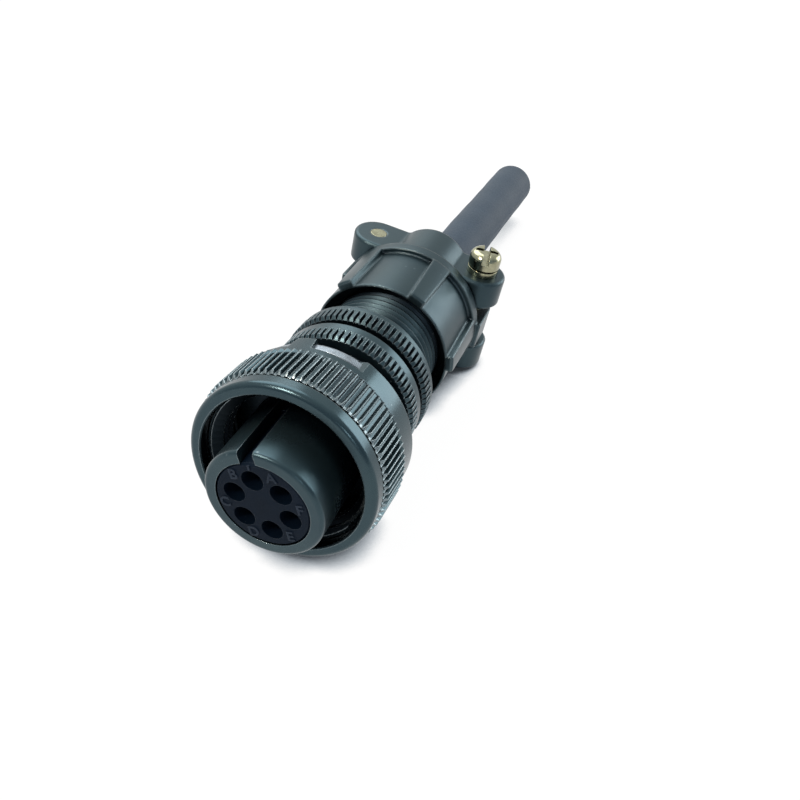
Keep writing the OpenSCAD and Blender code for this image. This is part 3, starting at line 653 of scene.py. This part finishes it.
class PLUG_OT_shells(bpy.types.Operator):
    """Gives the metal shells, nut, clamp and saddles their olive plate"""

    bl_idname = "plug.shells"
    bl_label = "Plate the shells"

    def execute(self, context):
        nut = plated_metal(
            "Olive plate, nut", rough=0.20, wear_and_highlight=0.75, grime_and_shade=0.1, specks=0.25, rubbed=TOOTH_ENDS
        )
        turned = plated_metal("Olive plate, turned", rough=0.27, wear_and_highlight=0.35, grime_and_shade=0.12, specks=0.2)
        # The backshell's plate is darker, and its painted shade reaches further into grooves and hollows
        satin = plated_metal(
            "Olive plate, satin", rough=0.36, wear_and_highlight=0.3, grime_and_shade=0.3, specks=0.12, shade=0.85,
            edge_width=0.15 * MM, grain_depth=0.1, closed=0.2,
        )
        cast = plated_metal(
            "Olive plate, cast", rough=0.33, wear_and_highlight=0.18, grime_and_shade=0.25, specks=0.06, shade=0.8,
            edge_width=0.6 * MM, patch=80.0, grain_depth=0.16,
        )
        dress(["coupling_nut"], nut)
        dress(["plug_shell"], turned)
        dress(["backshell"], satin)
        dress(CAST_NODES, cast)
        return {"FINISHED"}


class PLUG_OT_insert(bpy.types.Operator):
    """Finishes the insert and its contacts, and sets the contact letters on its face"""

    bl_idname = "plug.insert"
    bl_label = "Letter the insert"

    def execute(self, context):
        finish, sizes = context.scene.cable_plug.finish, context.scene.cable_plug.insert
        resin = moulded_resin("Insert resin", tuple(finish.resin))
        # The letter resin is lighter, partly as painted highlight on the raised letters
        letter_resin = moulded_resin("Letter resin", tuple(finish.letter))
        gold = bright_metal(
            "Contact plate", tuple(finish.gold), stain=(0.2, 0.12, 0.05), stain_share=0.2,
            smooth=0.25, rough=0.4, grime_and_shade=0.6,
        )
        dress(INSERT_NODES, resin)
        dress(CONTACT_NODES, gold)
        # The letters stand upright with the keyway at the top
        upright = Matrix.Rotation(sizes.key_turn, 4, "Z") @ Matrix.Rotation(math.pi, 4, "X")
        face = along(PLUG, sizes.letter_seat) @ upright
        joined = bmesh.new()
        for i, letter in enumerate("ABCDEF"):
            turn = sizes.first_letter + i * sizes.letter_step
            spot = Vector((math.sin(turn), math.cos(turn), 0)) * sizes.letter_radius
            mesh = self.letter_mesh(letter, sizes)
            mesh.transform(face @ Matrix.Translation(spot))
            joined.from_mesh(mesh)
            bpy.data.meshes.remove(mesh)
        self.tick(joined, face, sizes)
        bmesh.ops.remove_doubles(joined, verts=joined.verts, dist=MERGE_DISTANCE)
        letters = bpy.data.meshes.new("contact_letters")
        joined.to_mesh(letters)
        joined.free()
        finish_piece("contact_letters", letters, letter_resin, "plug")
        return {"FINISHED"}

    def letter_mesh(self, letter, sizes):
        """One raised letter round the origin."""
        type_curve = bpy.data.curves.new("letter", "FONT")
        type_curve.body = letter
        type_curve.size = sizes.letter_size
        type_curve.extrude = sizes.letter_rise
        type_curve.offset = sizes.letter_weight
        type_curve.align_x = "CENTER"
        type_curve.align_y = "CENTER"
        return evaluated_mesh(bpy.data.objects.new("letter", type_curve))

    def tick(self, joined, face, sizes):
        """The short tick that marks the keyway."""
        corners = bmesh.ops.create_cube(joined, size=1.0)["verts"]
        size = Matrix.Diagonal((sizes.tick_width, sizes.tick_length, 2 * sizes.letter_rise, 1))
        spot = Matrix.Translation((0, sizes.tick_radius, 0))
        bmesh.ops.transform(joined, matrix=face @ spot @ size, verts=corners)


class PLUG_OT_hardware(bpy.types.Operator):
    """Finishes the retaining rings, screws and lock washers, and adds the nut ring's second turn"""

    bl_idname = "plug.hardware"
    bl_label = "Finish the hardware"

    def execute(self, context):
        finish, sizes = context.scene.cable_plug.finish, context.scene.cable_plug.ring
        steel = bright_metal(
            "Spring steel", tuple(finish.steel), stain=(0.42, 0.17, 0.05), stain_share=0.8,
            smooth=0.2, rough=0.34, grime_and_shade=0.1,
        )
        nickel = bright_metal(
            "Yellow nickel", tuple(finish.nickel), stain=(0.2, 0.17, 0.1), stain_share=0.5,
            smooth=0.13, rough=0.24, grime_and_shade=0.75,
        )
        dress(STEEL_NODES, steel)
        dress(NICKEL_NODES, nickel)
        shell = bmesh.new()
        for side in (-1, 1):
            self.arc(shell, sizes, side)
        mesh = settled(shell, "ring_turn", NUT)
        finish_piece("ring_turn", mesh, steel, "nut")
        return {"FINISHED"}

    def arc(self, shell, sizes, side):
        """One closed arc of the ring's second turn, on one side of the nut's tab."""
        steps = 40
        section = (
            (sizes.inner, sizes.front),
            (sizes.outer - sizes.front_bevel, sizes.front),
            (sizes.outer, sizes.front + sizes.front_bevel),
            (sizes.outer, sizes.back - sizes.back_bevel),
            (sizes.outer - sizes.back_bevel, sizes.back),
            (sizes.inner, sizes.back),
        )
        rows = []
        for i in range(steps + 1):
            a = sizes.tab_turn + side * (sizes.tab_gap + sizes.sweep * i / steps)
            rows.append([shell.verts.new((r * math.sin(a), -r * math.cos(a), z)) for r, z in section])
        for low, high in zip(rows, rows[1:]):
            bridge(shell, low, high)
        shell.faces.new(rows[0])
        shell.faces.new(rows[-1][::-1])


class PLUG_OT_threads(bpy.types.Operator):
    """Cuts the coupling thread and the screw threads"""

    bl_idname = "plug.threads"
    bl_label = "Cut the threads"

    def execute(self, context):
        sizes = context.scene.cable_plug.threads
        # Painted shade: the thread inside the nut gets a plate darkened to 0.3, with pale painted highlights on
        # its crests
        plate = plated_metal(
            "Olive plate, thread", rough=0.30, wear_and_highlight=1.0, grime_and_shade=0.3, specks=0.2, shade=0.3
        )
        nickel = bpy.data.materials["Yellow nickel"]
        thread(
            "coupling_thread", NUT, plate, "nut", "olive_metal",
            root=sizes.nut_root, crest=sizes.nut_crest, pitch=sizes.nut_pitch, start=sizes.nut_start,
            turns=sizes.nut_turns, base_width=sizes.nut_base, crest_width=sizes.nut_top,
        )
        for side, place in SCREWS.items():
            thread(
                f"screw_thread_{side}", place, nickel, f"{side}_screw", "screw_nickel",
                root=sizes.screw_root, crest=sizes.screw_crest, pitch=sizes.screw_pitch,
                start=sizes.screw_start, turns=sizes.screw_turns, base_width=sizes.screw_base,
                crest_width=sizes.screw_top,
            )
        return {"FINISHED"}


class PLUG_OT_bushing(bpy.types.Operator):
    """Moulds the rubber bushing in place of its plain solid"""

    bl_idname = "plug.bushing"
    bl_label = "Mould the bushing"

    def execute(self, context):
        finish, sizes = context.scene.cable_plug.finish, context.scene.cable_plug.bushing
        rubber = soft_rubber("Bushing rubber", tuple(finish.rubber))
        shell = bmesh.new()
        rings = [self.ring(shell, sizes, radius, z) for radius, z in self.outline(sizes)]
        for low, high in zip(rings, rings[1:] + rings[:1]):
            bridge(shell, low, high, smooth=True)
        mesh = settled(shell, "rubber_bushing", BUSHING)
        piece = finish_piece("rubber_bushing", mesh, rubber, "bushing")
        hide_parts("cable_bushing")
        return {"FINISHED"}

    def outline(self, sizes):
        """The tube's section as radius and distance, once round from the bore's front edge."""
        bevel, fillet, chamfer, slack = 0.25 * MM, 0.2 * MM, 0.3 * MM, 0.05 * MM
        sleeve_rows, lip_rows, sleeve_start, bore_middle = 90, 6, 0.5 * MM, 30.0 * MM
        outer, bore, flange = sizes.radius, sizes.bore, sizes.flange_radius
        front, back, end = sizes.front, sizes.front + sizes.flange, sizes.reach
        section = [(bore + fillet, front), (flange - bevel, front), (flange, front + bevel)]
        section += [(flange, back - bevel), (flange - bevel, back)]
        section += [(outer + fillet, back), (outer, back + fillet)]
        skin, first, last = outer - slack, back + sleeve_start, end - sizes.lip
        for i in range(sleeve_rows + 1):
            z = first + (last - first) * i / sleeve_rows
            section.append((skin + self.wave(z), z))
        for i in range(1, lip_rows + 1):
            a = math.pi / 2 * i / lip_rows
            section.append((skin - sizes.lip * (1 - math.cos(a)), last + sizes.lip * math.sin(a)))
        section += [(bore + chamfer, end), (bore, end - chamfer)]
        section += [(bore, bore_middle), (bore, 0.0), (bore, front + fillet)]
        return section

    def wave(self, z):
        """Faint waviness of the sleeve, a slow and a quick wave that grow behind the clamp."""
        start, growth = 5.0, 6.0
        slow_height, slow_rate, slow_shift = 0.035, 0.23, 0.6
        quick_height, quick_rate = 0.02, 0.71
        at = z / MM
        grown = min(1.0, max(0.0, (at - start) / growth))
        slow = slow_height * math.sin(slow_rate * at + slow_shift)
        quick = quick_height * math.sin(quick_rate * at)
        return grown * MM * (slow + quick)

    def ring(self, shell, sizes, radius, z):
        """One ring of points, raised along the two mould seams on the outside."""
        around, seam_width, wall_from, seam_from = 128, 0.8, 0.5 * MM, 4.5 * MM
        half = around // 2
        seam = sizes.seam if radius > sizes.bore + wall_from and z > seam_from else 0.0
        ring = []
        for k in range(around):
            a = math.tau * k / around
            near = min(k % half, half - k % half)
            r = radius + seam * math.exp(-(near / seam_width) ** 2)
            ring.append(shell.verts.new((r * math.cos(a), r * math.sin(a), z)))
        return ring


class PLUG_OT_stage(bpy.types.Operator):
    """Sets the floor, the soft light and the camera"""

    bl_idname = "plug.stage"
    bl_label = "Set the stage"

    def execute(self, context):
        scene, sizes = context.scene, context.scene.cable_plug.stage
        scene.view_settings.view_transform = "Standard"
        self.camera(scene)
        self.floor(scene, sizes)
        self.world(scene, sizes)
        for name, power, *where, tint in LAMPS:
            self.lamp(scene, name, getattr(sizes, power), *where, tint)
        return {"FINISHED"}

    def camera(self, scene):
        """Camera at the place that was fitted to the photograph."""
        lens = bpy.data.cameras.new("photo_camera")
        lens.lens = CAMERA_LENS
        lens.sensor_width = CAMERA_LENS
        lens.clip_start = 0.01
        camera = bpy.data.objects.new("photo_camera", lens)
        camera.location = CAMERA_PLACE
        camera.rotation_euler = (math.pi / 2 - CAMERA_DOWN, 0, CAMERA_TURN)
        scene.collection.objects.link(camera)
        scene.camera = camera

    def floor(self, scene, sizes):
        """Pale floor with a soft bluish painted shadow where the plug comes close."""
        floor_radius, floor_edges, mottle_scale, mottle_tone = 3.0, 96, 30.0, 0.985
        white, black = (1, 1, 1), (0, 0, 0)
        material = bpy.data.materials.new("Pale floor")
        material.use_nodes = True
        tree = material.node_tree
        tree.nodes.clear()
        pale = tuple(sizes.floor)
        cloud = noise(tree, own_place(tree), mottle_scale)
        mottle = blend_colour(tree, cloud, scaled(pale, mottle_tone), pale)
        lit = put(tree, "ShaderNodeBsdfDiffuse", {"Color": mottle}).outputs["BSDF"]
        dimmed = blend_colour(tree, sizes.glow, mottle, black)
        matte = put(tree, "ShaderNodeBsdfDiffuse", {"Color": dimmed}).outputs["BSDF"]
        # Painted shadow: the glow is dimmed and tinted bluish where the plug closes the floor in
        near = openness(tree, sizes.shadow, samples=16)
        shadow = span(tree, near, low=0.28, high=0.64, to_low=0.03, to_high=1.04)
        tint = blend_colour(tree, shadow, sizes.shade, white)
        strength = times(tree, shadow, sizes.glow)
        glow = put(tree, "ShaderNodeEmission", {"Color": tint, "Strength": strength}).outputs[0]
        glowing = put(tree, "ShaderNodeAddShader", {0: matte, 1: glow}).outputs[0]
        # The camera and mirrors see the glowing floor, other light sees the plain one
        path = put(tree, "ShaderNodeLightPath").outputs
        seen = calc(tree, "ADD", path["Is Camera Ray"], path["Is Glossy Ray"])
        seen = calc(tree, "ADD", seen, path["Is Transmission Ray"], clamp=True)
        both = put(tree, "ShaderNodeMixShader", {0: seen, 1: lit, 2: glowing})
        put(tree, "ShaderNodeOutputMaterial", {"Surface": both.outputs[0]})
        mesh = bpy.data.meshes.new("floor")
        shape = bmesh.new()
        bmesh.ops.create_circle(shape, cap_ends=True, segments=floor_edges, radius=floor_radius)
        shape.to_mesh(mesh)
        shape.free()
        mesh.materials.append(material)
        floor = bpy.data.objects.new("floor", mesh)
        scene.collection.objects.link(floor)

    def world(self, scene, sizes):
        """Soft room: white behind on the left and above, dim and bluish on the camera's side."""
        bright_way, dim_from, bright_from = (-0.45, 0.70, 0.55), -0.35, 0.8
        world = bpy.data.worlds.new("Soft room")
        world.use_nodes = True
        tree = world.node_tree
        tree.nodes.clear()
        way = put(tree, "ShaderNodeTexCoord").outputs["Generated"]
        share = span(tree, dot(tree, way, bright_way), low=dim_from, high=bright_from)
        tint = blend_colour(tree, share, sizes.room_dim, sizes.room_bright)
        path = put(tree, "ShaderNodeLightPath").outputs
        mirrored = calc(tree, "ADD", path["Is Glossy Ray"], path["Is Transmission Ray"], clamp=True)
        strength = blend_number(tree, mirrored, sizes.ambient, 1.0)
        room = put(tree, "ShaderNodeBackground", {"Color": tint, "Strength": strength}).outputs[0]
        white = put(tree, "ShaderNodeBackground", {"Color": (1, 1, 1, 1), "Strength": 1.0}).outputs[0]
        sky = put(tree, "ShaderNodeMixShader", {0: path["Is Camera Ray"], 1: room, 2: white})
        put(tree, "ShaderNodeOutputWorld", {"Surface": sky.outputs[0]})
        scene.world = world

    def lamp(self, scene, name, power, spot, target, size, tint):
        """Round soft lamp that points at a target."""
        light = bpy.data.lights.new(name, "AREA")
        light.shape = "DISK"
        light.size = size
        light.energy = power
        light.color = tint
        lamp = bpy.data.objects.new(name, light)
        lamp.location = spot
        lamp.rotation_euler = (Vector(target) - Vector(spot)).to_track_quat("-Z", "Y").to_euler()
        scene.collection.objects.link(lamp)


OPERATORS = (
    PLUG_OT_shells, PLUG_OT_insert, PLUG_OT_hardware, PLUG_OT_threads, PLUG_OT_bushing, PLUG_OT_stage
)


class PLUG_PT_panel(bpy.types.Panel):
    """Sidebar panel of the cable plug"""

    bl_idname = "PLUG_PT_panel"
    bl_label = "Cable Plug"
    bl_space_type = "VIEW_3D"
    bl_region_type = "UI"
    bl_category = "Cable Plug"

    def draw(self, context):
        settings = context.scene.cable_plug
        for name in PlugSettings.__annotations__:
            group = getattr(settings, name)
            box = self.layout.box()
            for key in group.__annotations__:
                box.prop(group, key)
        for operator in OPERATORS:
            self.layout.operator(operator.bl_idname)


CLASSES = (
    PlugFinish, PlugThreads, PlugRing, PlugInsert, PlugBushing, PlugStage, PlugSettings, *OPERATORS,
    PLUG_PT_panel,
)


def register():
    for cls in CLASSES:
        bpy.utils.register_class(cls)
    bpy.types.Scene.cable_plug = bpy.props.PointerProperty(type=PlugSettings)


def unregister():
    del bpy.types.Scene.cable_plug
    for cls in reversed(CLASSES):
        bpy.utils.unregister_class(cls)


def main():
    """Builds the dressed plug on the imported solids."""
    register()
    bpy.ops.plug.shells()
    bpy.ops.plug.insert()
    bpy.ops.plug.hardware()
    bpy.ops.plug.threads()
    bpy.ops.plug.bushing()
    bpy.ops.plug.stage()


if __name__ == "__main__":
    main()
